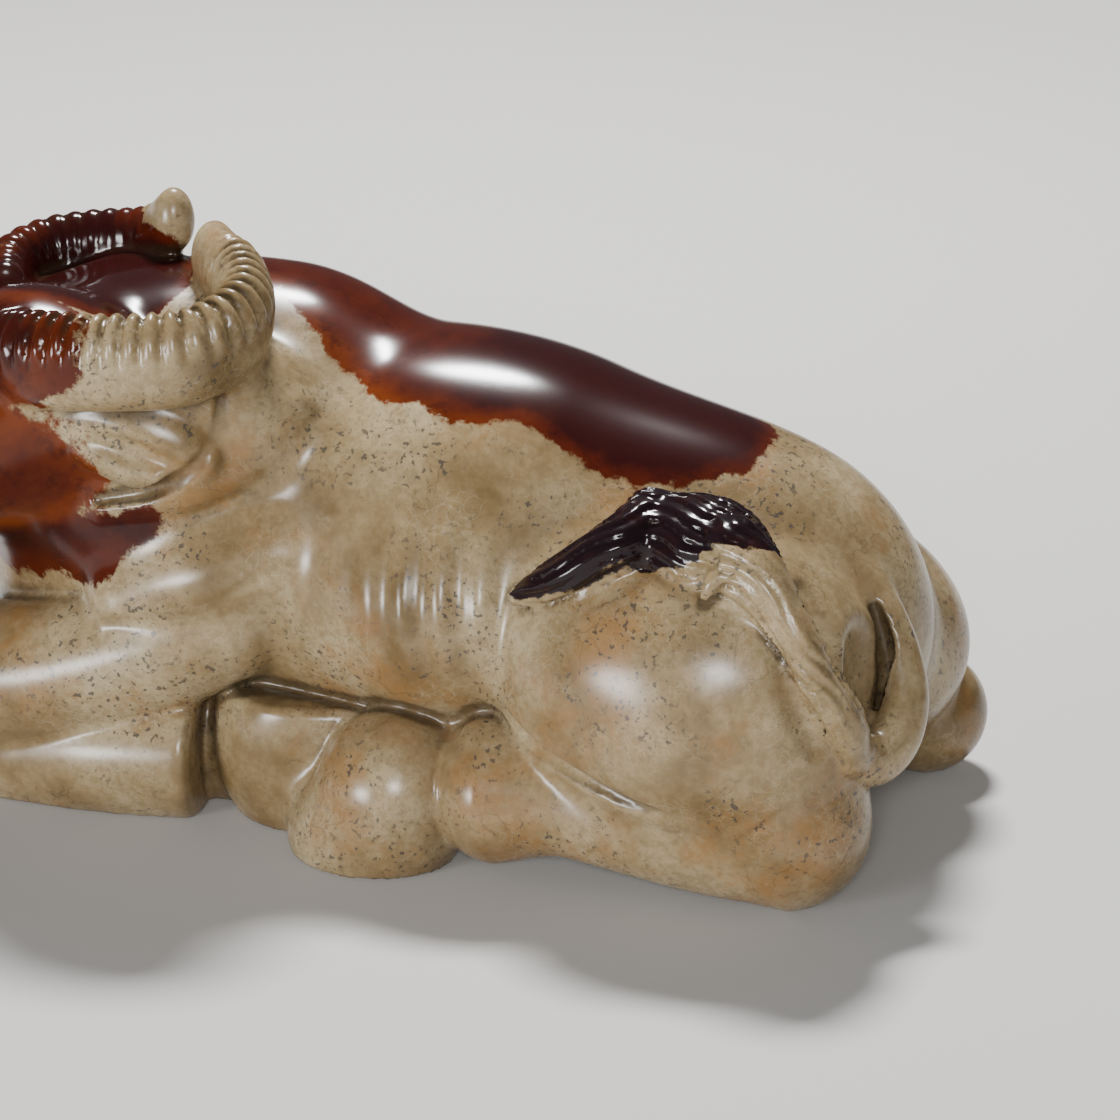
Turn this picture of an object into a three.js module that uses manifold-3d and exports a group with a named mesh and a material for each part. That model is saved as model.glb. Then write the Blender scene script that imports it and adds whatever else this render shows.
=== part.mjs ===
// A carved stone water buffalo that lies with its legs folded under it, its head turned to its left and
// its tail laid over its haunch. It is one solid stone, ground flat below so that it stands by itself.
//
// Millimetres, +Z up. -X is the animal's front, -Y its left side, and the origin is on the flat underside.
// Each mass of the figure is a distance field. The blend of them all is meshed on a grid, thinned where it
// is smooth, and cut flat at the ground.

import * as THREE from "three";
import { mergeVertices } from "three/addons/utils/BufferGeometryUtils.js";
import Module from "manifold-3d";

// Driving dimensions
const LENGTH = 120; // muzzle to rump
const WIDTH = 64; // muzzle and hind hoof on the left to the hooves on the right
const HEIGHT = 58; // ground to the tips of the horns

// Places on the figure, and the sizes below, are in its own units: it is this many of them long, wide and
// high.
const PROPORTIONS = [120, 64, 58];
const UNIT = [LENGTH / PROPORTIONS[0], WIDTH / PROPORTIONS[1], HEIGHT / PROPORTIONS[2]];

const HORN = 2.9; // half the thickness of a horn's band
const BAND = 1.6; // height of the band over its thickness
const EAR = 3.4; // half the thickness of the near ear
const KNEE = 8; // radius of a folded knee
const CANNON = 6.4; // radius of the foreleg below the knee
const HOCK = 8.2; // radius of the near hock
const SHANK = 5.6; // radius of the hind leg between hock and fetlock
const FETLOCK = 7.2; // radius of the near fetlock
const SOLE = 13.7; // height of the upturned sole of a forehoof
const CREASE = 1.5; // radius of the groove under a haunch
const TAIL = 2.4; // radius of the tail
const STRAND = 1.9; // radius of its tuft where it leaves the loop
const LOCK = 2.3; // radius of the lock that lies on the haunch

// Fineness of the mesh
const GRID = 1.3; // spacing of the samples
const ROOM = 5; // clear space round the figure
const FACES = 9400; // triangles left after thinning

const clamp01 = (t) => Math.min(1, Math.max(0, t));

// The nearer of two surfaces, filleted by about k where they meet
function join(a, b, k) {
  const h = Math.max(k - Math.abs(a - b), 0) / k;
  return Math.min(a, b) - h * h * k * 0.25;
}

// Distance to an ellipsoid, with its long axis turned by yaw about Z after pitch about Y, in degrees.
// A positive pitch lowers its -X end.
function ellipsoid(centre, radii, yaw = 0, pitch = 0) {
  const [cx, cy, cz] = centre;
  const [rx, ry, rz] = radii;
  const turn = new THREE.Matrix4().makeRotationZ(THREE.MathUtils.degToRad(yaw));
  turn.multiply(new THREE.Matrix4().makeRotationY(THREE.MathUtils.degToRad(-pitch)));
  const [ax, ay, az, , bx, by, bz, , ex, ey, ez] = turn.elements;
  return (x, y, z) => {
    const u = (x - cx) * ax + (y - cy) * ay + (z - cz) * az;
    const v = (x - cx) * bx + (y - cy) * by + (z - cz) * bz;
    const w = (x - cx) * ex + (y - cy) * ey + (z - cz) * ez;
    const near = Math.hypot(u / rx, v / ry, w / rz);
    const slope = Math.hypot(u / (rx * rx), v / (ry * ry), w / (rz * rz));
    return slope < 1e-9 ? -Math.min(rx, ry, rz) : (near * (near - 1)) / slope;
  };
}

// Distance to a round limb along a smooth curve through stations [x, y, z, radius]. Its section is as many
// times taller than wide as tall says. Farther off than enough, a lesser distance serves.
function limb(stations, tall = 1) {
  const curve = new THREE.CatmullRomCurve3(stations.map(([x, y, z]) => new THREE.Vector3(x, y, z)));
  const spans = stations.length - 1;
  const count = spans * 5;
  const pieces = [];
  for (let i = 0; i <= count; i++) {
    const at = (i / count) * spans;
    const j = Math.min(Math.floor(at), spans - 1);
    const { x, y, z } = curve.getPoint(i / count);
    pieces.push([x, y, z / tall, THREE.MathUtils.lerp(stations[j][3], stations[j + 1][3], at - j)]);
  }
  const ball = new THREE.Sphere().setFromPoints(pieces.map(([x, y, z]) => new THREE.Vector3(x, y, z)));
  const reach = ball.radius + Math.max(...stations.map((s) => s[3]));
  const { x: mx, y: my, z: mz } = ball.center;
  return (x, y, z, enough) => {
    const h = z / tall;
    const far = Math.hypot(x - mx, y - my, h - mz) - reach;
    if (far > enough) return far;
    let least = Infinity;
    for (let i = 0; i < count; i++) {
      const a = pieces[i];
      const b = pieces[i + 1];
      const ex = b[0] - a[0];
      const ey = b[1] - a[1];
      const ez = b[2] - a[2];
      const qx = x - a[0];
      const qy = y - a[1];
      const qz = h - a[2];
      const t = clamp01((qx * ex + qy * ey + qz * ez) / (ex * ex + ey * ey + ez * ez));
      const d = Math.hypot(qx - ex * t, qy - ey * t, qz - ez * t) - a[3] - (b[3] - a[3]) * t;
      if (d < least) least = d;
    }
    return least;
  };
}

// The same mass without what lies beyond a plane, given by a point on it and the way that it faces
function trimmed(field, point, facing, edge) {
  const [nx, ny, nz] = new THREE.Vector3(...facing).normalize().toArray();
  const level = nx * point[0] + ny * point[1] + nz * point[2];
  return (x, y, z, enough) => -join(-field(x, y, z, enough), level - nx * x - ny * y - nz * z, edge);
}

const UP = [0, 0, 1];

// The figure, mass by mass: each is joined to those before it with a fillet, or carved from them with one.
const masses = [];
const add = (fillet, ...fields) => fields.forEach((field) => masses.push({ fillet, field, side: 1 }));
const carve = (fillet, ...fields) => fields.forEach((field) => masses.push({ fillet, field, side: -1 }));

// The same mass on the left side and, mirrored, on the right
const bothSides = (field) => [field, (x, y, z, enough) => field(x, -y, z, enough)];

// Trunk: barrel, chest, rump, withers, and the keel that it stands on
add(6, ellipsoid([7.5, 0, 26.5], [34.5, 20.5, 21.2]));
add(6, ellipsoid([-20, 0, 26], [24, 18, 21]));
add(7, ellipsoid([36.8, 0, 22.4], [21.2, 16, 18.8], 0, -8));
add(7, ellipsoid([-13.5, 1, 39.6], [14.5, 11, 11.2]));
add(6, ellipsoid([6, 0, 8], [42, 12, 12]));

// Neck, and the swellings of it that the horns lie on
add(6, limb([[-10, 1, 36.5, 14], [-23, -4, 37, 14.5], [-32, -12, 38, 12.5]]));
add(4, limb([[-28, -17.5, 45, 5.5], [-18, -18.8, 45.4, 5], [-10.5, -17, 46, 5]]));
add(4, limb([[-28, -16.5, 41.5, 6], [-17, -15.8, 41, 6], [-8, -13.5, 41, 6.5]]));
add(4, limb([[-35, -8, 42, 6], [-35, 0, 42.5, 6], [-29, 2.5, 44, 6.5]]));

// Belly, and the stone left between the trunk and the legs
add(3, ...bothSides(ellipsoid([12.5, -9.5, 25], [17, 14.3, 12.8])));
add(3, ...bothSides(ellipsoid([15, -14, 7.5], [9, 7, 7])));
add(3, ...bothSides(ellipsoid([-27, -10.5, 10], [14, 6, 10])));
add(1.5, ...bothSides(ellipsoid([-12, -11.5, 6.5], [5, 5.5, 7.5])));

// Shoulder, with the ridge of the upper arm
add(4, ...bothSides(ellipsoid([-18, -9.5, 31], [13.5, 12, 14.5])));
add(3, ...bothSides(limb([[-4.5, -17.2, 28.6, 4.2], [-11, -18.6, 26, 4.6], [-19, -19.5, 22.6, 3.6]])));

// Haunch, running down into the hock, and the flatter one that the figure leans away from
add(2.5, ellipsoid([38.2, -14.5, 20.8], [19.4, 14.8, 15.6]));
add(4, limb([[40, -17.5, 17, 10.5], [46, -17.6, 13, 9.3], [49, -17.8, 9, HOCK - 0.4]]));
add(2.5, ellipsoid([38.5, 11.2, 16], [20.2, 14.5, 14.4]));

// Forelegs: forearm down to the knee, and the cannon folded back under it
const forearm = limb([[-9.5, -15.5, 20.5, 6.2], [-18, -16.8, 16.8, 7], [-30, -17.5, 12.6, 7.6],
  [-43, -16.5, 10.5, KNEE]]);
const cannon = limb([[-45, -16, 8, KNEE], [-33, -17, 4.5, CANNON], [-22, -17, 5.5, CANNON + 0.6],
  [-10, -16, 6.5, CANNON + 0.6]]);
add(1.2, ...bothSides(forearm));
add(0.9, ...bothSides(trimmed(cannon, [-12.2, -19, 6], [1, 0.15, 0], 1.5)));

// Cloven forehoof, turned sole up: its outer claw with a straight wall, and its inner claw
const outerClaw = trimmed(ellipsoid([-2.6, -12, 8], [10.8, 9.5, 12.5], -18), [0, 0, SOLE], UP, 0.7);
const innerClaw = trimmed(ellipsoid([5, -9.5, 7], [6.5, 7.5, 12], -18), [0, 0, SOLE - 0.4], UP, 0.7);
add(0.7, ...bothSides(trimmed(outerClaw, [0, -20.8, 8], [0.3, -1, -0.1], 2.5)));
add(0.5, ...bothSides(innerClaw));

// Hind legs: hock, shank and fetlock, then the hoof with its toe forward and the dewclaw over it
add(1.5, limb([[48.8, -17.8, 8, HOCK], [42, -19.2, 7.2, SHANK + 0.8], [33, -19.8, 7.6, SHANK],
  [27, -19.7, 8.2, SHANK], [20.6, -19.2, 8, FETLOCK]]));
add(1.5, limb([[52.8, 18, 6.4, 6.4], [42, 19, 6.4, 6.2], [31, 19.6, 7, 6], [20.6, 19.2, 7.8, FETLOCK]]));
add(0.8, ...bothSides(ellipsoid([9.6, -19.8, 6.8], [7.9, 8, 8.2])));
add(2.5, ...bothSides(ellipsoid([7, -20.3, 2], [8.4, 7.2, 6.5])));
add(0.8, ...bothSides(ellipsoid([19.5, -19.5, 14.2], [2.6, 3.5, 1.6])));

// The groove under the haunch
carve(0.8, ...bothSides(limb([[18, -24, 17.5, CREASE], [22.2, -23, 16.3, CREASE], [28.6, -25.6, 14.6, 1.2],
  [34, -27.2, 13.3, 0.9], [41, -28, 11.3, 0.5]])));

// Head: from the nape to the nose, the muzzle, the brow and the eyes
add(4, limb([[-30, -16, 42.5, 10], [-38, -20.5, 38.5, 9.4], [-46, -24.5, 33, 7.4], [-52, -27.2, 29.4, 6.2]]));
add(3, ellipsoid([-53.2, -27.4, 28.2], [5.2, 7, 5.6], 27, 25));
add(2, ellipsoid([-41, -22, 40.4], [9, 5.4, 4.4], 27, 28));
add(0.6, ellipsoid([-37.6, -29.4, 39], [2.6, 1.7, 1.8], 30, 20));
add(0.6, ellipsoid([-45.6, -14.6, 39], [2.6, 1.7, 1.8], 24, 20));

// Ears below the horns
add(0.8, ellipsoid([-16.4, -21.8, 40.9], [8.8, EAR, 5], 8, -16));
add(1, ellipsoid([-42, -3.4, 42], [2.7, 6.8, 3.6], 62));

// Horns, that together make a ring on the neck
const nearHorn = limb([[-31, -21, 46.5, HORN], [-25.3, -25, 48.6, HORN], [-16.6, -26, 49.6, HORN],
  [-9.6, -23.6, 50.3, HORN], [-7.3, -17, 51.4, HORN], [-10.3, -9.8, 52.4, HORN], [-15.5, -4, 54, 2.4]], BAND);
const farHorn = limb([[-38, -6, 46.5, HORN], [-40, 0, 48, HORN], [-38, 4.1, 49, HORN],
  [-33.7, 6.1, 50, 2.6], [-27, 5.5, 52, 2.2], [-22.6, 1.8, 55.6, 2.1]], BAND);
add(0.8, nearHorn, farHorn);

// Tail: out of the rump and down behind the haunch, past a hollow, to its loop
const tail = limb([[46, -2, 35.4, TAIL - 0.2], [51.2, -5.4, 31, TAIL], [54.8, -7.4, 26.8, TAIL],
  [57, -8.6, 23, TAIL], [58.2, -10.4, 19.4, TAIL], [58, -12.8, 16.4, TAIL + 0.2],
  [56.8, -15.4, 15.2, TAIL + 0.2], [55.2, -18.2, 17, TAIL]]);
carve(2, ellipsoid([57.6, -14.6, 23.4], [3.4, 5.4, 6.8], -25));
add(0.9, tail);

// Its tuft, up over the haunch, where it spreads, and the lock that falls forward from it
const tuft = limb([[54.9, -18.4, 17.2, TAIL], [55.4, -20.2, 20.2, STRAND], [54, -22, 24.3, STRAND],
  [51.8, -22.8, 28.5, STRAND], [49, -22.2, 31.9, 2.2], [45.6, -20.6, 34.4, 3.6], [41.5, -18, 35, 5.2],
  [35.6, -16.4, 35, 4.6]]);
const lock = limb([[34, -15, 37.2, LOCK], [34.6, -17.2, 37.6, LOCK], [33, -20.6, 35.8, LOCK + 0.3],
  [29.2, -22.2, 33.2, LOCK], [25.5, -22.3, 31, 1.6], [23, -22, 29.6, 0.7]]);
add(0.7, tuft);
add(0.6, lock);

// The whole figure, cut off halfway down into the clear space below the ground
function form(x, y, z) {
  let d = 1e3;
  for (const { fillet, field, side } of masses) {
    d = side * join(side * d, field(x, y, z, side * d + fillet), fillet);
  }
  return Math.max(d, -ROOM / 2 - z);
}

// Meshing. Each cube of the grid is split into six tetrahedra about its diagonal, and the surface is cut
// through each of them, so that it closes everywhere.
function polygonised(field, low, high, step) {
  const n = [0, 1, 2].map((k) => Math.ceil((high[k] - low[k]) / step) + 1);
  const values = new Float64Array(n[0] * n[1] * n[2]);
  const index = (i, j, k) => (k * n[1] + j) * n[0] + i;
  const CLEAR = 1.8; // steps off the surface, beyond which a value is only a sign
  for (let k = 0; k < n[2]; k++) {
    for (let j = 0; j < n[1]; j++) {
      for (let i = 0; i < n[0]; ) {
        const value = field(low[0] + i * step, low[1] + j * step, low[2] + k * step);
        const run = 1 + Math.max(0, Math.floor(0.8 * (Math.abs(value) / step - CLEAR)));
        for (const end = Math.min(n[0], i + run); i < end; i++) values[index(i, j, k)] = value;
      }
    }
  }
  const points = [];
  const faces = [];
  const made = new Map();
  const place = (c) => {
    const i = c % n[0];
    const j = Math.floor(c / n[0]) % n[1];
    const k = Math.floor(c / (n[0] * n[1]));
    return [low[0] + i * step, low[1] + j * step, low[2] + k * step];
  };
  // The point where the surface crosses the edge from an inner sample to an outer one
  const crossing = (inner, outer) => {
    const key = Math.min(inner, outer) * values.length + Math.max(inner, outer);
    if (!made.has(key)) {
      const t = Math.min(0.95, Math.max(0.05, values[inner] / (values[inner] - values[outer])));
      const a = place(inner);
      const b = place(outer);
      made.set(key, points.length);
      points.push(a.map((v, m) => v + (b[m] - v) * t));
    }
    return made.get(key);
  };
  // A triangle, turned to face away from the inner sample
  const face = (p, q, r, inner) => {
    const [a, b, c] = [p, q, r].map((m) => new THREE.Vector3(...points[m]));
    const away = b.clone().sub(a).cross(c.clone().sub(a));
    const outward = away.dot(a.sub(new THREE.Vector3(...place(inner)))) > 0;
    faces.push(outward ? [p, q, r] : [p, r, q]);
  };
  const paths = [[0, 1, 2], [0, 2, 1], [1, 0, 2], [1, 2, 0], [2, 0, 1], [2, 1, 0]];
  const stride = [1, n[0], n[0] * n[1]];
  const diagonal = stride[0] + stride[1] + stride[2];
  const corners = [0, stride[0], stride[1], stride[2], diagonal - stride[0], diagonal - stride[1],
    diagonal - stride[2], diagonal];
  for (let k = 0; k < n[2] - 1; k++) {
    for (let j = 0; j < n[1] - 1; j++) {
      for (let i = 0; i < n[0] - 1; i++) {
        const c = index(i, j, k);
        const under = corners.filter((m) => values[c + m] < 0).length;
        if (under === 0 || under === corners.length) continue;
        for (const [a, b] of paths) {
          const four = [c, c + stride[a], c + stride[a] + stride[b], c + diagonal];
          const inner = four.filter((m) => values[m] < 0);
          const outer = four.filter((m) => values[m] >= 0);
          if (inner.length === 1) {
            face(...outer.map((m) => crossing(inner[0], m)), inner[0]);
          } else if (inner.length === 3) {
            face(...inner.map((m) => crossing(m, outer[0])), inner[0]);
          } else if (inner.length === 2) {
            const [p, q] = outer.map((m) => crossing(inner[0], m));
            const [r, s] = outer.map((m) => crossing(inner[1], m));
            face(p, q, r, inner[0]);
            face(q, s, r, inner[0]);
          }
        }
      }
    }
  }
  return { points, faces };
}

// Draws every point half of the way to the middle of its neighbours, which evens out the cut tetrahedra
function evened({ points, faces }) {
  const sums = points.map(() => [0, 0, 0, 0]);
  for (const f of faces) {
    f.forEach((v, m) => {
      const next = points[f[(m + 1) % 3]];
      for (let k = 0; k < 3; k++) sums[v][k] += next[k];
      sums[v][3]++;
    });
  }
  return { points: points.map((p, v) => p.map((q, k) => (q + sums[v][k] / sums[v][3]) / 2)), faces };
}

// Thinning. The cheapest edge is closed up again and again, where the cost of an edge is how far its new
// point would leave the planes of the faces round it.
function thinned({ points, faces }, most) {
  const around = points.map(() => new Set());
  const planes = points.map(() => new Float64Array(10));
  const stamp = new Int32Array(points.length);
  const normal = (a, b, c) => {
    const u = [b[0] - a[0], b[1] - a[1], b[2] - a[2]];
    const v = [c[0] - a[0], c[1] - a[1], c[2] - a[2]];
    return [u[1] * v[2] - u[2] * v[1], u[2] * v[0] - u[0] * v[2], u[0] * v[1] - u[1] * v[0]];
  };
  faces.forEach((f, id) => {
    const [a, b, c] = f.map((m) => points[m]);
    const [x, y, z] = normal(a, b, c);
    const size = Math.hypot(x, y, z) || 1e-12;
    const p = [x / size, y / size, z / size];
    p.push(-(p[0] * a[0] + p[1] * a[1] + p[2] * a[2]));
    for (const m of f) {
      around[m].add(id);
      let s = 0;
      for (let r = 0; r < 4; r++) for (let q = r; q < 4; q++) planes[m][s++] += p[r] * p[q] * size;
    }
  });
  const neighbours = (v) => {
    const near = new Set();
    for (const id of around[v]) for (const m of faces[id]) if (m !== v) near.add(m);
    return near;
  };
  // The best place for the point that an edge closes to, and its cost
  const best = (a, b) => {
    const q = planes[a].map((v, m) => v + planes[b][m]);
    const middle = points[a].map((v, m) => (v + points[b][m]) / 2);
    const pull = 1e-3 * (q[0] + q[4] + q[7]) + 1e-9;
    const m = new THREE.Matrix3(q[0] + pull, q[1], q[2], q[1], q[4] + pull, q[5], q[2], q[5], q[7] + pull);
    const right = new THREE.Vector3(pull * middle[0] - q[3], pull * middle[1] - q[6], pull * middle[2] - q[8]);
    const [x, y, z] = right.applyMatrix3(m.invert()).toArray();
    const cost = q[0] * x * x + q[4] * y * y + q[7] * z * z + q[9]
      + 2 * (q[1] * x * y + q[2] * x * z + q[5] * y * z + q[3] * x + q[6] * y + q[8] * z);
    return { at: [x, y, z], cost };
  };
  // A heap of edges, the cheapest first
  const heap = [];
  const swap = (i, j) => ([heap[i], heap[j]] = [heap[j], heap[i]]);
  const push = (a, b) => {
    const { at, cost } = best(a, b);
    heap.push({ a, b, at, cost, age: stamp[a] + stamp[b] });
    let i = heap.length - 1;
    while (i > 0 && heap[(i - 1) >> 1].cost > heap[i].cost) {
      swap(i, (i - 1) >> 1);
      i = (i - 1) >> 1;
    }
  };
  const pop = () => {
    swap(0, heap.length - 1);
    const top = heap.pop();
    let i = 0;
    while (2 * i + 1 < heap.length) {
      let j = 2 * i + 1;
      if (j + 1 < heap.length && heap[j + 1].cost < heap[j].cost) j++;
      if (heap[i].cost <= heap[j].cost) break;
      swap(i, j);
      i = j;
    }
    return top;
  };
  // Whether a face stays sound, and faces the same way, when its corner v moves
  const sound = (id, v, at) => {
    const before = normal(...faces[id].map((m) => points[m]));
    const after = normal(...faces[id].map((m) => (m === v ? at : points[m])));
    const dot = before[0] * after[0] + before[1] * after[1] + before[2] * after[2];
    const size = Math.hypot(...after);
    return size > 0.02 && dot > 0.3 * size * Math.hypot(...before);
  };
  points.forEach((_, a) => neighbours(a).forEach((b) => a < b && push(a, b)));
  let left = faces.length;
  while (left > most && heap.length) {
    const { a, b, at, age } = pop();
    if (stamp[a] < 0 || stamp[b] < 0 || age !== stamp[a] + stamp[b]) continue;
    const nearB = neighbours(b);
    const shared = [...neighbours(a)].filter((m) => nearB.has(m));
    if (shared.length !== 2) continue;
    const kept = (v, other) => [...around[v]].filter((id) => !faces[id].includes(other));
    const [ofA, ofB] = [kept(a, b), kept(b, a)];
    if (!ofA.every((id) => sound(id, a, at)) || !ofB.every((id) => sound(id, b, at))) continue;
    for (const id of [...around[b]].filter((m) => faces[m].includes(a))) {
      for (const m of faces[id]) around[m].delete(id);
      faces[id] = null;
      left--;
    }
    for (const id of ofB) {
      faces[id] = faces[id].map((m) => (m === b ? a : m));
      around[a].add(id);
    }
    points[a] = at;
    planes[b].forEach((v, m) => (planes[a][m] += v));
    stamp[b] = -1;
    stamp[a]++;
    neighbours(a).forEach((m) => push(a, m));
  }
  return { points, faces: faces.filter(Boolean) };
}

function geometryOf(points, triangles) {
  const geometry = new THREE.BufferGeometry();
  geometry.setAttribute("position", new THREE.Float32BufferAttribute(points, 3));
  geometry.setIndex(triangles);
  return geometry;
}

// Solids, for the flat cut at the ground
const wasm = await Module();
wasm.setup();

function solid(geometry) {
  const vertProperties = new Float32Array(geometry.getAttribute("position").array);
  const triVerts = new Uint32Array(geometry.getIndex().array);
  return new wasm.Manifold(new wasm.Mesh({ numProp: 3, vertProperties, triVerts }));
}

const LEAN = 4; // how much farther the head and the haunch reach to the left
const [long, wide, high] = PROPORTIONS;
const least = [-long / 2 - ROOM, -wide / 2 - LEAN - ROOM, -ROOM];
const most = [long / 2 + ROOM, wide / 2 + ROOM, high + ROOM];
const figure = thinned(evened(polygonised(form, least, most, GRID)), FACES);

const below = new THREE.BoxGeometry(2 * long, 2 * wide, 2 * ROOM).translate(0, 0, -ROOM);
below.deleteAttribute("normal");
below.deleteAttribute("uv");
const whole = solid(geometryOf(figure.points.flat(), figure.faces.flat()));
const stone = whole.subtract(solid(mergeVertices(below)));

const { vertProperties, triVerts } = stone.getMesh();
const buffalo = new THREE.Mesh(
  geometryOf(Array.from(vertProperties), Array.from(triVerts)).scale(...UNIT),
  new THREE.MeshStandardMaterial({ color: 0x8f7f52, roughness: 0.3, metalness: 0 }),
);
buffalo.name = "buffalo";

const carving = new THREE.Group();
carving.add(buffalo);
export default carving;
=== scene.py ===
"""A carved jade water buffalo, lying with folded legs: its carved surface, its stone, and a plain stage.

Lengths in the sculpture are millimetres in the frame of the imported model, and become metres in the mesh.
"""

import math

import bpy
import numpy as np
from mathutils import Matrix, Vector


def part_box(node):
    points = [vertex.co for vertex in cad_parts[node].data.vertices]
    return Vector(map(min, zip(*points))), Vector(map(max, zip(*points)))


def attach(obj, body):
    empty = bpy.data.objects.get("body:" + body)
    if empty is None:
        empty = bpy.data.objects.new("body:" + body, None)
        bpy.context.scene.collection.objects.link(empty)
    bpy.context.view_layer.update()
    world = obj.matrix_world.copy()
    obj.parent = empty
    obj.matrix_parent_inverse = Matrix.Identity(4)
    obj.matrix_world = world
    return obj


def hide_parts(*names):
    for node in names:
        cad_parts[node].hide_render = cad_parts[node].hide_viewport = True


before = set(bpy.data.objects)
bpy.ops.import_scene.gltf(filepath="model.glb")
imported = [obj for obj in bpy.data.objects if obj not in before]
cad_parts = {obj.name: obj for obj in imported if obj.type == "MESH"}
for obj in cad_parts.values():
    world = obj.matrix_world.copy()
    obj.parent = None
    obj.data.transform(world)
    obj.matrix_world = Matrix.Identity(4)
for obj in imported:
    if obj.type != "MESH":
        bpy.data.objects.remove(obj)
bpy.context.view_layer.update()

bl_info = {
    "name": "Carved jade buffalo",
    "version": (1, 0, 0),
    "blender": (4, 5, 0),
    "location": "View3D > Sidebar > Buffalo",
    "description": "Carves a recumbent jade buffalo and sets it on a plain stage",
    "category": "Object",
}

MM = 0.001


# Fields: distances in millimetres from many points at once, negative inside the stone

def join(a, b, k):
    """The nearer of two surfaces, with a fillet of about k where they meet."""
    h = np.maximum(k - np.abs(a - b), 0) / k
    return np.minimum(a, b) - h * h * k * 0.25


def smooth(low, high, x):
    t = np.clip((x - low) / (high - low), 0, 1)
    return t * t * (3 - 2 * t)


class Ellipsoid:
    """An ellipsoid turned by yaw about Z after pitch about Y, in degrees. Pitch lowers its -X end."""

    def __init__(self, centre, radii, yaw=0, pitch=0):
        self.centre = np.array(centre, float)
        self.radii = np.array(radii, float)
        a, b = math.radians(yaw), math.radians(-pitch)
        about_z = np.array([[math.cos(a), -math.sin(a), 0], [math.sin(a), math.cos(a), 0], [0, 0, 1]])
        about_y = np.array([[math.cos(b), 0, math.sin(b)], [0, 1, 0], [-math.sin(b), 0, math.cos(b)]])
        self.turn = about_z @ about_y

    def inside(self, p):
        return (p - self.centre) @ self.turn

    def __call__(self, p):
        q = self.inside(p)
        near = np.linalg.norm(q / self.radii, axis=1)
        slope = np.linalg.norm(q / self.radii**2, axis=1)
        return near * (near - 1) / np.maximum(slope, 1e-9)


class Limb:
    """A round limb along a smooth curve through stations (x, y, z, radius), tall times taller than wide."""

    GUESSES = 4  # pieces of each span, from which the nearest place on the curve is first guessed

    def __init__(self, stations, tall=1.0):
        rows = np.array(stations, float)
        self.tall = tall
        self.count = len(rows) - 1
        ends = [2 * rows[0] - rows[1], *rows, 2 * rows[-1] - rows[-2]]
        squash = np.array([1, 1, 1 / tall])
        cubics = []
        for j in range(self.count):
            a, b, c, d = (np.array(row[:3]) for row in ends[j:j + 4])
            # centripetal Catmull-Rom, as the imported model's curves
            k1, k2, k3 = (max(np.linalg.norm(v) ** 0.5, 1e-4) for v in (b - a, c - b, d - c))
            m1 = ((b - a) / k1 - (c - a) / (k1 + k2) + (c - b) / k2) * k2 * squash
            m2 = ((c - b) / k2 - (d - b) / (k2 + k3) + (d - c) / k3) * k2 * squash
            b, c = b * squash, c * squash
            r1, r2 = ends[j + 1][3], ends[j + 2][3]
            s1, s2 = (r2 - ends[j][3]) / 2, (ends[j + 3][3] - r1) / 2
            b, c, m1, m2 = np.append(b, r1), np.append(c, r2), np.append(m1, s1), np.append(m2, s2)
            cubics.append([b, m1, 3 * (c - b) - 2 * m1 - m2, 2 * (b - c) + m1 + m2])
        self.cubics = np.array(cubics)
        self.ticks = np.linspace(0, self.count, self.count * self.GUESSES + 1)
        self.steps = self.at(self.ticks)[0]
        length = np.linalg.norm(np.diff(self.steps[:, :3], axis=0), axis=1)
        self.run = np.concatenate([[0], np.cumsum(length)])
        self.middle = (self.steps[:, :3].min(0) + self.steps[:, :3].max(0)) / 2
        self.reach = np.linalg.norm(self.steps[:, :3] - self.middle, axis=1).max() + self.steps[:, 3].max()

    def at(self, s):
        """Place and radius, slope and bend of the curve at s, counted in spans."""
        span = np.clip(np.floor(s).astype(int), 0, self.count - 1)
        t = (s - span)[:, None]
        k = self.cubics[span]
        place = k[:, 0] + t * (k[:, 1] + t * (k[:, 2] + t * k[:, 3]))
        slope = k[:, 1, :3] + t * (2 * k[:, 2, :3] + 3 * t * k[:, 3, :3])
        return place, slope, 2 * k[:, 2, :3] + 6 * t * k[:, 3, :3]

    def nearest(self, q):
        """Where on the curve, in spans, each point is nearest to it."""
        best, s = np.full(len(q), np.inf), np.zeros(len(q))
        for i in range(len(self.steps) - 1):
            a, b = self.steps[i], self.steps[i + 1]
            e = b[:3] - a[:3]
            t = np.clip((q - a[:3]) @ e / max(e @ e, 1e-9), 0, 1)
            off = q - a[:3] - t[:, None] * e
            d = np.sqrt((off * off).sum(1)) - a[3] - (b[3] - a[3]) * t
            closer = d < best
            best = np.where(closer, d, best)
            s = np.where(closer, (i + t) / self.GUESSES, s)
        for _ in range(2):
            place, slope, bend = self.at(s)
            off = place[:, :3] - q
            size = (slope * slope).sum(1)
            move = (off * slope).sum(1) / np.maximum(size + (off * bend).sum(1), 0.3 * size)
            s = np.clip(s - np.clip(move, -0.2, 0.2), 0, self.count)
        return s

    def trace(self, p):
        """Run along the limb, and the side and upward place across it, for each point."""
        q = p * [1, 1, 1 / self.tall]
        s = self.nearest(q)
        place, slope, bend = self.at(s)
        off = q - place[:, :3]
        along = slope / np.linalg.norm(slope, axis=1)[:, None]
        across = np.stack([-along[:, 1], along[:, 0], np.zeros(len(p))], 1)
        across /= np.maximum(np.linalg.norm(across, axis=1), 1e-6)[:, None]
        upward = np.cross(along, across)
        return np.interp(s, self.ticks, self.run), (off * across).sum(1), (off * upward).sum(1)

    def __call__(self, p):
        q = p * [1, 1, 1 / self.tall]
        d = np.linalg.norm(q - self.middle, axis=1) - self.reach
        near = d < 8
        if near.any():
            q = q[near]
            place = self.at(self.nearest(q))[0]
            d[near] = np.linalg.norm(q - place[:, :3], axis=1) - place[:, 3]
        return d


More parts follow.
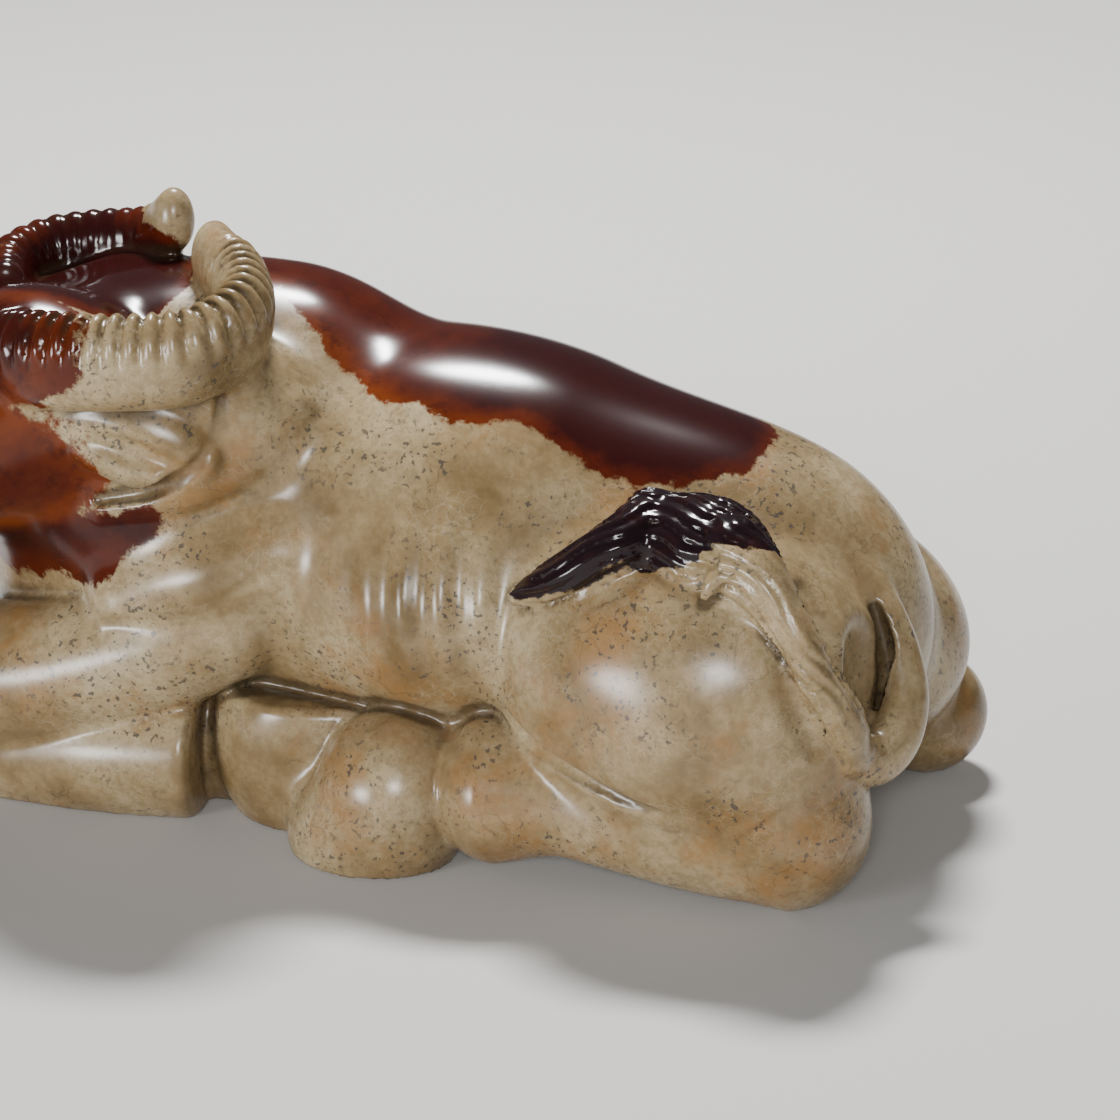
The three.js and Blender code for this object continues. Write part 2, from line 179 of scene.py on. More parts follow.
class Mirrored:
    """The same mass on the right side."""

    def __init__(self, mass):
        self.mass = mass

    def __call__(self, p):
        return self.mass(p * [1, -1, 1])


class Trimmed:
    """The same mass without what lies beyond a plane, given by a point on it and the way that it faces."""

    def __init__(self, mass, point, facing, edge):
        self.mass = mass
        self.point = np.array(point, float)
        self.facing = np.array(facing, float) / np.linalg.norm(facing)
        self.edge = edge

    def __call__(self, p):
        return -join(-self.mass(p), (self.point - p) @ self.facing, self.edge)


def both_sides(mass):
    return [mass, Mirrored(mass)]


# The figure, mass by mass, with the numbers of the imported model

# Radii in millimetres, but for the band and the sole
HORN, BAND, EAR = 2.9, 1.6, 3.4  # a horn is BAND times taller than it is wide
KNEE, CANNON = 8, 6.4
SOLE = 13.7  # height of the upturned forehoof
HOCK, SHANK, FETLOCK, CREASE = 8.2, 5.6, 7.2, 1.5
TAIL_END, STRAND, LOCK_ROOT = 2.4, 1.9, 2.3
UP = (0, 0, 1)

NEAR_HORN = Limb([(-31, -21, 46.5, 3), (-25.3, -25, 48.6, 3), (-16.6, -26, 49.6, HORN),
                  (-9.6, -23.6, 50.3, HORN), (-7.3, -17, 51.4, HORN), (-10.3, -9.8, 52.4, HORN),
                  (-15.5, -4, 54, 2.4)], BAND)
FAR_HORN = Limb([(-38, -6, 46.5, 3), (-40, 0, 48, HORN), (-38, 4.1, 49, 2.8), (-33.7, 6.1, 50, 2.6),
                 (-27, 5.5, 52, 2.2), (-22.6, 1.8, 55.6, 2.1)], BAND)
TAIL = Limb([(46, -2, 35.4, 2.2), (51.2, -5.4, 31, 2.3), (54.8, -7.4, 26.8, TAIL_END), (57, -8.6, 23, TAIL_END),
             (58.2, -10.4, 19.4, 2.5), (58, -12.8, 16.4, 2.6), (56.8, -15.4, 15.2, 2.6),
             (55.2, -18.2, 17, TAIL_END)])
TUFT = Limb([(54.9, -18.4, 17.2, 2.3), (55.4, -20.2, 20.2, STRAND), (54, -22, 24.3, 1.8),
             (51.8, -22.8, 28.5, STRAND), (49, -22.2, 31.9, 2.2), (45.6, -20.6, 34.4, 3.6),
             (41.5, -18, 35, 5.2), (35.6, -16.4, 35, 4.6)])
LOCK = Limb([(34, -15, 37.2, LOCK_ROOT), (34.6, -17.2, 37.6, LOCK_ROOT), (33, -20.6, 35.8, 2.6),
             (29.2, -22.2, 33.2, LOCK_ROOT), (25.5, -22.3, 31, 1.6), (23, -22, 29.6, 0.7)])

# The round stem of the tuft, which only the carved surface has
STEM = Limb([(55.4, -19.2, 17, 2.2), (55.6, -21, 20.4, 2), (54.4, -22.4, 23.5, 1.8), (53.1, -23.3, 26.4, 1.7),
             (51.9, -23.6, 29.3, 1.7), (49.8, -23.2, 32.3, 1.9), (47.4, -22.3, 35.2, 2.4),
             (44.4, -20.4, 36.6, 3.2)])


def figure():
    """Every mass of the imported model, in order: fillet, field, and 1 where added or -1 where cut."""
    masses = []

    def add(fillet, *fields):
        masses.extend((fillet, f, 1) for f in fields)

    def carve(fillet, *fields):
        masses.extend((fillet, f, -1) for f in fields)

    # trunk: barrel, chest, rump, withers, and the keel that it stands on
    add(6, Ellipsoid((7.5, 0, 26.5), (34.5, 20.5, 21.2)))
    add(6, Ellipsoid((-20, 0, 26), (24, 18, 21)))
    add(7, Ellipsoid((36.8, 0, 22.4), (21.2, 16, 18.8), 0, -8))
    add(7, Ellipsoid((-13.5, 1, 39.6), (14.5, 11, 11.2)))
    add(6, Ellipsoid((6, 0, 8), (42, 12, 12)))
    # neck, and the swellings of it that the horns lie on
    add(6, Limb([(-10, 1, 36.5, 14), (-23, -4, 37, 14.5), (-32, -12, 38, 12.5)]))
    add(4, Limb([(-28, -17.5, 45, 5.5), (-18, -18.8, 45.4, 5), (-10.5, -17, 46, 5)]))
    add(4, Limb([(-28, -16.5, 41.5, 6), (-17, -15.8, 41, 6), (-8, -13.5, 41, 6.5)]))
    add(4, Limb([(-35, -8, 42, 6), (-35, 0, 42.5, 6), (-29, 2.5, 44, 6.5)]))
    # belly, and the stone left between the trunk and the legs
    add(3, *both_sides(Ellipsoid((12.5, -9.5, 25), (17, 14.3, 12.8))))
    add(3, *both_sides(Ellipsoid((15, -14, 7.5), (9, 7, 7))))
    add(3, *both_sides(Ellipsoid((-27, -10.5, 10), (14, 6, 10))))
    add(1.5, *both_sides(Ellipsoid((-12, -11.5, 6.5), (5, 5.5, 7.5))))
    # shoulder, with the ridge of the upper arm
    add(4, *both_sides(Ellipsoid((-18, -9.5, 31), (13.5, 12, 14.5))))
    add(3, *both_sides(Limb([(-4.5, -17.2, 28.6, 4.2), (-11, -18.6, 26, 4.6), (-19, -19.5, 22.6, 3.6)])))
    # haunch, running down into the hock, and the flatter one that the figure leans away from
    add(2.5, Ellipsoid((38.2, -14.5, 20.8), (19.4, 14.8, 15.6)))
    add(4, Limb([(40, -17.5, 17, 10.5), (46, -17.6, 13, 9.3), (49, -17.8, 9, HOCK - 0.4)]))
    add(2.5, Ellipsoid((38.5, 11.2, 16), (20.2, 14.5, 14.4)))
    # forelegs: forearm down to the knee, and the cannon folded back under it
    forearm = Limb([(-9.5, -15.5, 20.5, 6.2), (-18, -16.8, 16.8, 7), (-30, -17.5, 12.6, 7.6),
                    (-43, -16.5, 10.5, KNEE)])
    cannon = Limb([(-45, -16, 8, KNEE), (-33, -17, 4.5, CANNON), (-22, -17, 5.5, 7), (-10, -16, 6.5, 7)])
    add(1.2, *both_sides(forearm))
    add(0.9, *both_sides(Trimmed(cannon, (-12.2, -19, 6), (1, 0.15, 0), 1.5)))
    # cloven forehoof, turned sole up: its outer claw with a straight wall, and its inner claw
    outer = Trimmed(Ellipsoid((-2.6, -12, 8), (10.8, 9.5, 12.5), -18), (0, 0, SOLE), UP, 0.7)
    inner = Trimmed(Ellipsoid((5, -9.5, 7), (6.5, 7.5, 12), -18), (0, 0, SOLE - 0.4), UP, 0.7)
    add(0.7, *both_sides(Trimmed(outer, (0, -20.8, 8), (0.3, -1, -0.1), 2.5)))
    add(0.5, *both_sides(inner))
    # hind legs: hock, shank and fetlock, then the hoof with its toe forward and the dewclaw over it
    add(1.5, Limb([(48.8, -17.8, 8, HOCK), (42, -19.2, 7.2, 6.4), (33, -19.8, 7.6, SHANK - 0.1),
                   (27, -19.7, 8.2, SHANK), (20.6, -19.2, 8, FETLOCK)]))
    add(1.5, Limb([(52.8, 18, 6.4, 6.4), (42, 19, 6.4, 6.2), (31, 19.6, 7, 6),
                   (20.6, 19.2, 7.8, FETLOCK - 0.1)]))
    add(0.8, *both_sides(Ellipsoid((9.6, -19.8, 6.8), (7.9, 8, 8.2))))
    add(2.5, *both_sides(Ellipsoid((7, -20.3, 2), (8.4, 7.2, 6.5))))
    add(0.8, *both_sides(Ellipsoid((19.5, -19.5, 14.2), (2.6, 3.5, 1.6))))
    # the groove under the haunch
    groove = Limb([(18, -24, 17.5, CREASE + 0.1), (22.2, -23, 16.3, CREASE), (28.6, -25.6, 14.6, 1.2),
                   (34, -27.2, 13.3, 0.9), (41, -28, 11.3, 0.5)])
    carve(0.8, *both_sides(groove))
    # head: from the nape to the nose, the muzzle, the brow and the eyes
    add(4, Limb([(-30, -16, 42.5, 10), (-38, -20.5, 38.5, 9.4), (-46, -24.5, 33, 7.4),
                 (-52, -27.2, 29.4, 6.2)]))
    add(3, Ellipsoid((-53.2, -27.4, 28.2), (5.2, 7, 5.6), 27, 25))
    add(2, Ellipsoid((-41, -22, 40.4), (9, 5.4, 4.4), 27, 28))
    add(0.6, Ellipsoid((-37.6, -29.4, 39), (2.6, 1.7, 1.8), 30, 20))
    add(0.6, Ellipsoid((-45.6, -14.6, 39), (2.6, 1.7, 1.8), 24, 20))
    # ears, and the horns that together make a ring on the neck
    add(0.8, Ellipsoid((-16.4, -21.8, 40.9), (8.8, EAR, 5), 8, -16))
    add(1, Ellipsoid((-42, -3.4, 42), (2.7, 6.8, 3.6), 62, 0))
    add(0.8, NEAR_HORN, FAR_HORN)
    # tail, past a hollow of the haunch, its tuft, and the lock that falls forward from it
    carve(2, Ellipsoid((57.6, -14.6, 23.4), (3.4, 5.4, 6.8), -25, 0))
    add(0.9, TAIL)
    add(0.7, TUFT)
    add(0.6, LOCK)
    return masses


def details():
    """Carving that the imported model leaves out, in order: fillet, field, and 1 where added or -1 where cut."""
    return [
        # neck fold behind the ear, the outline of the ear, and its hollow
        (1.5, Limb([(-2.4, -14.8, 43.5, 1.2), (-6.9, -18, 38.3, 1.6), (-10.5, -20.2, 36, 1.7),
                    (-15.5, -21, 34.4, 1.4), (-20.5, -21.2, 33, 0.9)]), 1),
        (0.6, Limb([(-7.4, -21.2, 45.4, 0.6), (-7.8, -21.7, 41.9, 0.8), (-9, -23, 39.5, 0.9),
                    (-11.5, -23.4, 37.4, 0.9), (-16.3, -22, 35.2, 0.8), (-20.5, -22, 34, 0.6)]), -1),
        (0.9, Ellipsoid((-15.6, -25.4, 40.2), (6.6, 1.9, 1.7), 8, -16), -1),
        # crisp lower edge of the upper arm
        (0.8, Limb([(-19.5, -23.4, 21.3, 0.8), (-12.2, -23.6, 22.6, 0.9), (-8.5, -23.2, 24, 0.8),
                    (-3.8, -21.8, 28, 0.6)]), -1),
        # nostrils and mouth
        (0.6, Ellipsoid((-56.1, -32.2, 29.2), (1.5, 1, 1.1), 27, 25), -1),
        (0.6, Ellipsoid((-58.9, -26.8, 29.2), (1.5, 1, 1.1), 27, 25), -1),
        (0.5, Limb([(-48.5, -32.2, 28.5, 0.5), (-53.5, -34.2, 25.8, 0.7), (-58.4, -31.2, 25, 0.7),
                    (-59.9, -27.5, 25, 0.7), (-57.9, -22.9, 25.6, 0.7), (-52.3, -21.8, 28.4, 0.5)]), -1),
        # slit between the tail and the buttock
        (0.7, Limb([(54.8, -9.2, 28, 0.5), (56, -9.8, 25, 0.9), (56.6, -10.2, 21.5, 1),
                    (56.4, -11.6, 18.4, 0.8)]), -1),
        # grooves on both sides of the tuft's stem and under its lock, which make them slim
        (1.2, Limb([(47.2, -24.8, 34.4, 0.8), (49.1, -25.1, 31.8, 1.2), (50.7, -25.1, 28.5, 1.4),
                    (52.4, -24.9, 23.3, 1.4), (54, -24, 19.1, 0.9)]), -1),
        (1.2, Limb([(50.3, -17.6, 32.7, 0.8), (53.6, -20.7, 28.7, 1.2), (56.6, -22.4, 24.2, 1.2),
                    (57.8, -21.2, 21.2, 0.8)]), -1),
        (1, Limb([(23.6, -23.7, 29.3, 0.8), (27.9, -25, 31, 1.2), (30.6, -25, 31.7, 1.3),
                  (33.4, -24.2, 33.3, 1.2), (35.6, -22.5, 34.3, 0.8)]), -1),
        # the stem, and the short lock under the fan
        (0.5, STEM, 1),
        (0.4, Limb([(44.5, -23.2, 36, 0.9), (43.3, -24.2, 34.4, 0.8), (42.6, -24.9, 33, 0.3)]), 1),
    ]


MASSES = figure() + details()

# Rounded ridges across or along a limb: the limb, their spacing and depth, and whether they run along it
RIDGES = [(NEAR_HORN, 1.75, 0.3, False), (FAR_HORN, 1.9, 0.12, False), (TUFT, 1.5, 0.2, True),
          (STEM, 1.4, 0.15, True), (LOCK, 1.5, 0.17, True)]
RIB_PITCH, RIB_DEPTH = 3.9, 0.32


def relief(p, d):
    """The distance d with the ribs, the rings of the horns and the strands of hair."""
    x, y, z = p.T
    flank = smooth(0, 1, 1.3 - np.hypot((x - 14.5) / 8.5, (z - 27) / 9))
    left_side = smooth(-8, -14, y) * smooth(15.5, 18.5, z)
    d = d - RIB_DEPTH * (flank * left_side) * np.cos(2 * np.pi * (x + 0.1 * (z - 25) - 12) / RIB_PITCH)
    for limb, pitch, depth, along in RIDGES:
        own = np.abs(limb(p))
        near = own < 1.2
        if not near.any():
            continue
        run, side, rise = limb.trace(p[near])
        fade = smooth(1.1, 0.3, own[near])
        if along:
            # strands that waver a little, and start after the root of the limb
            turn = np.arctan2(rise, side) * np.maximum(np.hypot(rise, side), 1.4)
            wave = turn + 0.5 * np.sin(0.55 * run)
            fade = fade * smooth(0, 5, run)
        else:
            # rings on the upper half only, that die out before the tip
            wave = run
            fade = fade * smooth(2, 6, limb.run[-1] - run) * smooth(-0.4, 1.4, rise)
        d[near] -= depth * fade * (2 * np.abs(np.sin(np.pi * wave / pitch)) - 1)
    return d


def form(p):
    """Distance to the surface of the carving, which stands flat on the ground."""
    d = np.full(len(p), 1e3)
    for fillet, mass, side in MASSES:
        d = side * join(side * d, mass(p), fillet)
    near = np.abs(d) < 1
    if near.any():
        d[near] = relief(p[near], d[near])
    return np.maximum(d, -p[:, 2])


# Meshing

BLOCK = 4  # steps along one side of the blocks that are sampled only where the surface is near


def shifted(grid, corner):
    """The grid's values at one corner, given as three zeros or ones, of every cell."""
    return grid[tuple(slice(c, size - 1 + c) for c, size in zip(corner, grid.shape))]


def sampled(field, low, high, step):
    """The field on a grid, true near the surface and only its sign elsewhere."""
    blocks = [math.ceil((high[k] - low[k]) / step / BLOCK) for k in range(3)]
    shape = [b * BLOCK + 1 for b in blocks]
    grid = np.stack(np.meshgrid(*(np.arange(b) for b in blocks), indexing="ij"), -1).reshape(-1, 3)
    middle = field(low + (grid * BLOCK + BLOCK / 2) * step)
    near = np.abs(middle) < BLOCK * step * 1.25
    sign = np.where(middle.reshape(blocks) < 0, -1.0, 1.0)
    values = np.ones(shape)
    values[:-1, :-1, :-1] = np.kron(sign, np.ones((BLOCK,) * 3))
    ticks = np.stack(np.meshgrid(*[np.arange(BLOCK + 1)] * 3, indexing="ij"), -1).reshape(-1, 3)
    cells = (grid[near][:, None] * BLOCK + ticks).reshape(-1, 3)
    flat = np.unique(np.ravel_multi_index(cells.T, shape))
    cells = np.stack(np.unravel_index(flat, shape), -1)
    values.reshape(-1)[flat] = np.concatenate([field(low + c * step) for c in np.array_split(cells, 12)])
    return values


def surface(field, low, high, step):
    """Points and quads of the zero surface of a field, one point for each cell that the surface crosses."""
    low = np.array(low, float)
    values = sampled(field, low, high, step)
    inside = values < 0
    corners = [(i, j, k) for i in (0, 1) for j in (0, 1) for k in (0, 1)]
    count = sum(shifted(inside, c).astype(np.int8) for c in corners)
    mixed = (count > 0) & (count < 8)
    cell = np.argwhere(mixed)
    number = np.full(mixed.shape, -1, np.int64)
    number[mixed] = np.arange(len(cell))

    # each point is the mean of where the surface crosses the edges of its cell
    total, hits = np.zeros((len(cell), 3)), np.zeros(len(cell))
    for corner in corners:
        for axis in range(3):
            if corner[axis]:
                continue
            end = list(corner)
            end[axis] = 1
            here = values[tuple((cell + corner).T)]
            there = values[tuple((cell + end).T)]
            cross = (here < 0) != (there < 0)
            at = np.tile(np.array(corner, float), (len(cell), 1))
            at[:, axis] = np.where(cross, here / np.where(cross, here - there, 1), 0)
            total += at * cross[:, None]
            hits += cross
    points = low + (cell + total / hits[:, None]) * step

    # each crossed edge of the grid gives a quad between the four cells round it
    quads = []
    for axis in range(3):
        u, v = (axis + 1) % 3, (axis + 2) % 3
        lower, upper = [slice(None)] * 3, [slice(None)] * 3
        lower[axis], upper[axis] = slice(0, -1), slice(1, None)
        at = np.argwhere(inside[tuple(lower)] != inside[tuple(upper)])
        within = (at[:, u] > 0) & (at[:, v] > 0)
        within &= (at[:, u] < inside.shape[u] - 1) & (at[:, v] < inside.shape[v] - 1)
        at = at[within]
        ring = []
        for du, dv in ((1, 1), (0, 1), (0, 0), (1, 0)):
            c = at.copy()
            c[:, u] -= du
            c[:, v] -= dv
            ring.append(number[tuple(c.T)])
        ring = np.stack(ring, -1)
        flip = ~inside[tuple(at.T)]
        ring[flip] = ring[flip][:, ::-1]
        quads.append(ring)
    return points, np.vstack(quads)


def settled(points, field, step):
    """Draws points onto the zero surface of the field."""
    h = step * 0.3
    for _ in range(2):
        d = field(points)
        slope = np.stack([(field(points + o) - d) / h for o in np.eye(3) * h], -1)
        size = np.maximum(np.linalg.norm(slope, axis=1), 0.3)
        move = np.clip(d / size, -0.4 * step, 0.4 * step)
        points = points - slope / size[:, None] * move[:, None]
    return points


# Russet skin

# Where it was left on the stone: how fast it darkens inwards, its tone and the zone.
# The tone is 0 where the skin is warm, 1 where it is dark and 2 where it is near black.
SKIN_ZONES = [
    # back
    (1.2, 0.35, Limb([(-14, 2, 53, 5), (-6, 2, 52, 6.4), (0, 2, 50, 9.9), (7, 1.5, 48, 13.5),
                      (13, 1, 47, 14)])),
    (1.4, 0.9, Limb([(15, 1, 47, 14), (21.5, 1, 46, 12.2), (27, 0, 43.5, 12.2), (31, -1, 42, 11),
                     (34.5, -3, 41, 6.5)])),
    # hair of the tuft, and its lock
    (3, 2, Limb([(45.6, -19.6, 38.4, 3.7), (40, -18.2, 39, 6), (35.4, -18.8, 37.6, 5)])),
    (3, 2, Limb([(34, -17, 38, 2.8), (33, -20.6, 36.6, 3), (29.2, -22.6, 34.4, 2.6), (26, -22.8, 32.4, 2),
                 (23.6, -22.6, 30.8, 1.4)])),
    # far horn, the neck within the horns, and the root of the near horn
    (2, 1, Limb([(-38, -6, 46.5, 5.2), (-40, 0, 48, 5.2), (-38, 4.1, 49, 5.2), (-33.7, 6.1, 50, 5),
                 (-28, 5.8, 51.5, 4)])),
    (2, 1, Ellipsoid((-29, -6.5, 51), (11.5, 12, 5.5))),
    (1, 0.7, Limb([(-33, -21, 47.5, 7.5), (-26, -24, 50, 6.8), (-21.5, -25.5, 50, 4.5)])),
    # head and cheek
    (0.7, 0, Limb([(-32, -17, 42, 12), (-38, -20.5, 38.5, 12), (-52, -27.2, 29.4, 10)])),
    (0.8, 0.1, Ellipsoid((-29, -21, 38), (9.5, 8, 9))),
    # shoulder
    (0.9, 1, Limb([(-33, -18, 28.5, 6), (-24, -19.5, 29, 4.5), (-16.5, -21, 31.5, 2.8)])),
]


def skin_on(points):
    """How deep in the russet skin each point lies, less than 0 where there is none, and its tone."""
    depths = np.array([-weight * zone(points) for weight, tone, zone in SKIN_ZONES])
    tones = np.array([tone for weight, tone, zone in SKIN_ZONES])[:, None]
    share = np.exp(np.clip(depths, -30, 30))
    return depths.max(0), (share * tones).sum(0) / share.sum(0)


# Stone

def node(tree, kind, links=(), **values):
    made = tree.nodes.new(kind)
    for key, value in values.items():
        if key.startswith("in_"):
            made.inputs[key[3:].replace("_", " ")].default_value = value
        else:
            setattr(made, key, value)
    for name, source in dict(links).items():
        tree.links.new(source, made.inputs[name])
    return made


def colour_of(values):
    return (*values[:3], 1.0)


def jade_material(look):
    """Olive-beige jade with clouds, rusty patches, crackle, veins and specks, under a russet skin."""
    material = bpy.data.materials.new("jade")
    material.use_nodes = True
    tree = material.node_tree
    tree.nodes.clear()
    place = node(tree, "ShaderNodeTexCoord").outputs["Object"]

    def carved_in(name):
        return node(tree, "ShaderNodeAttribute", attribute_name=name).outputs["Fac"]

    def noisy(scale, detail=4.0, rough=0.55):
        made = node(tree, "ShaderNodeTexNoise", {"Vector": place}, in_Scale=scale, in_Detail=detail,
                    in_Roughness=rough)
        return made.outputs["Fac"]

    def ramp(source, *stops):
        made = node(tree, "ShaderNodeValToRGB", {"Fac": source})
        elements = made.color_ramp.elements
        while len(elements) < len(stops):
            elements.new(0.5)
        for element, (at, colour) in zip(elements, stops):
            element.position = at
            element.color = colour_of(colour)
        return made.outputs["Color"]

    def level(source, low, high):
        made = node(tree, "ShaderNodeMapRange", {"Value": source}, interpolation_type="SMOOTHSTEP")
        made.inputs["From Min"].default_value = low
        made.inputs["From Max"].default_value = high
        return made.outputs["Result"]

    def reckon(operation, a, b):
        made = node(tree, "ShaderNodeMath", operation=operation)
        for socket, value in zip(made.inputs, (a, b)):
            if isinstance(value, (int, float)):
                socket.default_value = value
            else:
                tree.links.new(value, socket)
        return made.outputs["Value"]

    def times(a, b):
        return reckon("MULTIPLY", a, b)

    def unsteady(source, scale, detail, rough, amount):
        """The source, raised and lowered by up to half the amount."""
        swing = reckon("SUBTRACT", noisy(scale, detail, rough), 0.5)
        return reckon("ADD", source, swing if amount == 1 else times(swing, amount))

    def laid_over(below, share, colour):
        """The colour below, covered by a share of another one."""
        made = node(tree, "ShaderNodeMix", {0: share}, data_type="RGBA")
        for socket, value in ((made.inputs[6], below), (made.inputs[7], colour)):
            if isinstance(value, bpy.types.NodeSocket):
                tree.links.new(value, socket)
            else:
                socket.default_value = colour_of(value)
        return made.outputs[2]

    def hairlines(scale, width, patches):
        """Where the bent net of hairlines shows, in patches."""
        net = node(tree, "ShaderNodeTexVoronoi", {"Vector": bent}, feature="DISTANCE_TO_EDGE", in_Scale=scale)
        return times(level(net.outputs["Distance"], width, 0.0), patches)

    # olive-beige body, clouded, grained and rusty in patches
    jade = ramp(noisy(75, 6, 0.62), (0.36, look.jade_dark), (0.5, look.jade_mid), (0.65, look.jade_pale))
    jade = laid_over(jade, times(level(noisy(1100, 4, 0.7), 0.42, 0.62), 0.35), look.jade_dark)
    jade = laid_over(jade, times(level(noisy(52, 9, 0.74), 0.5, 0.66), 0.65), look.rust)

    # pale crackle and dark veins, on a net that wanders by up to 4 mm
    wander = node(tree, "ShaderNodeTexNoise", {"Vector": place}, in_Scale=350.0, in_Detail=3.0)
    bend = node(tree, "ShaderNodeVectorMath", {0: wander.outputs["Color"], 2: place}, operation="MULTIPLY_ADD")
    bend.inputs[1].default_value = (4 * MM,) * 3
    bent = bend.outputs["Vector"]
    jade = laid_over(jade, times(hairlines(800, 0.055, level(noisy(140, 3), 0.48, 0.6)), 0.22), look.crackle)
    # the dark veins are the stone's own colour
    jade = laid_over(jade, times(hairlines(260, 0.03, level(noisy(110, 5), 0.5, 0.62)), 0.32), look.dirt_and_shade)

    # small and large grey-black specks, in clusters
    clusters = level(noisy(85, 5, 0.6), 0.44, 0.6)
    specks = reckon("MAXIMUM", level(noisy(1700, 2, 0.5), 0.6, 0.65), level(noisy(820, 6, 0.75), 0.61, 0.68))
    jade = laid_over(jade, times(times(specks, clusters), 0.8), look.speck)

    # russet skin with a ragged edge: warm on the head, dark elsewhere, near black on the hair, with dark blots
    skin, tone = carved_in("skin"), carved_in("tone")
    covered = level(unsteady(skin, 130, 9, 0.72, 9.0), -0.35, 0.35)
    depth = level(unsteady(skin, 90, 5, 0.65, 9.0), -0.5, 5.5)
    warm = ramp(depth, (0.1, look.skin_edge), (0.75, look.skin_mid))
    dark = ramp(depth, (0.05, look.skin_mid), (0.55, look.skin_dark))
    russet = laid_over(warm, level(unsteady(tone, 240, 5, 0.6, 1), 0.1, 0.9), dark)
    russet = laid_over(russet, level(tone, 1.2, 1.8), look.hair)
    russet = laid_over(russet, times(level(noisy(420, 6, 0.7), 0.5, 0.7), 0.6), look.skin_dark)
    colour = laid_over(jade, covered, russet)

    # old wax and dirt, with painted shade, in the hollows: darker where more stone lies just over the surface
    shade_in_hollows = level(unsteady(carved_in("hollow_shade"), 260, 5, 0.65, 1), 0.22, 0.75)
    colour = laid_over(colour, times(shade_in_hollows, 0.7), look.dirt_and_shade)

    shader = node(tree, "ShaderNodeBsdfPrincipled", {"Base Color": colour})
    for name, bare, skinned in (("Roughness", look.roughness, look.skin_roughness),
                                ("Specular IOR Level", 0.45, 0.3)):
        made = node(tree, "ShaderNodeMapRange", {"Value": covered})
        made.inputs["To Min"].default_value = bare
        made.inputs["To Max"].default_value = skinned
        tree.links.new(made.outputs["Result"], shader.inputs[name])
    shader.inputs["IOR"].default_value = 1.5
    shader.inputs["Subsurface Weight"].default_value = 0.1
    shader.inputs["Subsurface Radius"].default_value = (1.0, 0.6, 0.3)
    shader.inputs["Subsurface Scale"].default_value = 1.2 * MM
    node(tree, "ShaderNodeOutputMaterial", {"Surface": shader.outputs["BSDF"]})
    return material


# Settings

def colour_setting(name, what, value):
    return bpy.props.FloatVectorProperty(name=name, description=what, default=value, subtype="COLOR", size=3,
                                         min=0, max=1)


def share_setting(name, what, value):
    return bpy.props.FloatProperty(name=name, description=what, default=value, min=0, max=1)


def length_setting(name, what, millimetres):
    return bpy.props.FloatProperty(name=name, description=what, default=millimetres * MM, unit="LENGTH")


def angle_setting(name, what, degrees):
    return bpy.props.FloatProperty(name=name, description=what, default=math.radians(degrees), subtype="ANGLE")


class StoneSettings(bpy.types.PropertyGroup):
    """Colours and polish of the stone, and the fineness of its surface"""

    jade_dark: colour_setting("Dark jade", "Darker cloud of the olive-beige stone", (0.135, 0.088, 0.036))
    jade_mid: colour_setting("Jade", "Body colour of the olive-beige stone", (0.25, 0.178, 0.09))
    jade_pale: colour_setting("Pale jade", "Paler cloud of the stone", (0.36, 0.285, 0.165))
    crackle: colour_setting("Crackle", "Pale hairlines in the stone", (0.46, 0.40, 0.28))
    rust: colour_setting("Rust", "Orange-brown patches in the stone", (0.25, 0.12, 0.035))
    speck: colour_setting("Speck", "Grey-black specks", (0.045, 0.04, 0.036))
    # this colour paints the dark veins, and in the hollows it is dirt with painted shade
    dirt_and_shade: colour_setting("Dirt", "Dark veins, and old wax and dirt in the hollows", (0.028, 0.017, 0.008))
    skin_edge: colour_setting("Skin edge", "Orange glow of thin russet skin", (0.13, 0.026, 0.005))
    skin_mid: colour_setting("Skin", "Russet skin", (0.062, 0.009, 0.003))
    skin_dark: colour_setting("Deep skin", "Thickest, darkest skin", (0.022, 0.0035, 0.003))
    hair: colour_setting("Hair", "Near-black skin on the hair of the tail", (0.010, 0.0045, 0.006))
    roughness: share_setting("Roughness", "Roughness of the waxy polish", 0.27)
    skin_roughness: share_setting("Skin roughness", "Roughness of the polished russet skin", 0.17)
    detail: length_setting("Detail", "Spacing of the points on the carved surface", 0.42)


class StageSettings(bpy.types.PropertyGroup):
    """Floor and camera"""

    floor: colour_setting("Floor", "Colour of the plain floor", (0.54, 0.53, 0.51))
    azimuth: angle_setting("Azimuth", "Camera's way round the carving", 20)
    elevation: angle_setting("Elevation", "Camera's height above the horizon", 21)
    distance: length_setting("Distance", "Camera to the point looked at", 450)
    width: length_setting("Width", "Width seen at that distance", 112)


# Operators

TRIANGLES = 190000  # of the carved surface, after thinning
SHADE_REACH = 1.3  # how far over the surface the stone is felt for, to find the hollows that get painted shade, in millimetres
LOOKED_AT = Vector((19.5, 0, 25)) * MM
SENSOR = 36  # width of the camera's sensor, in millimetres


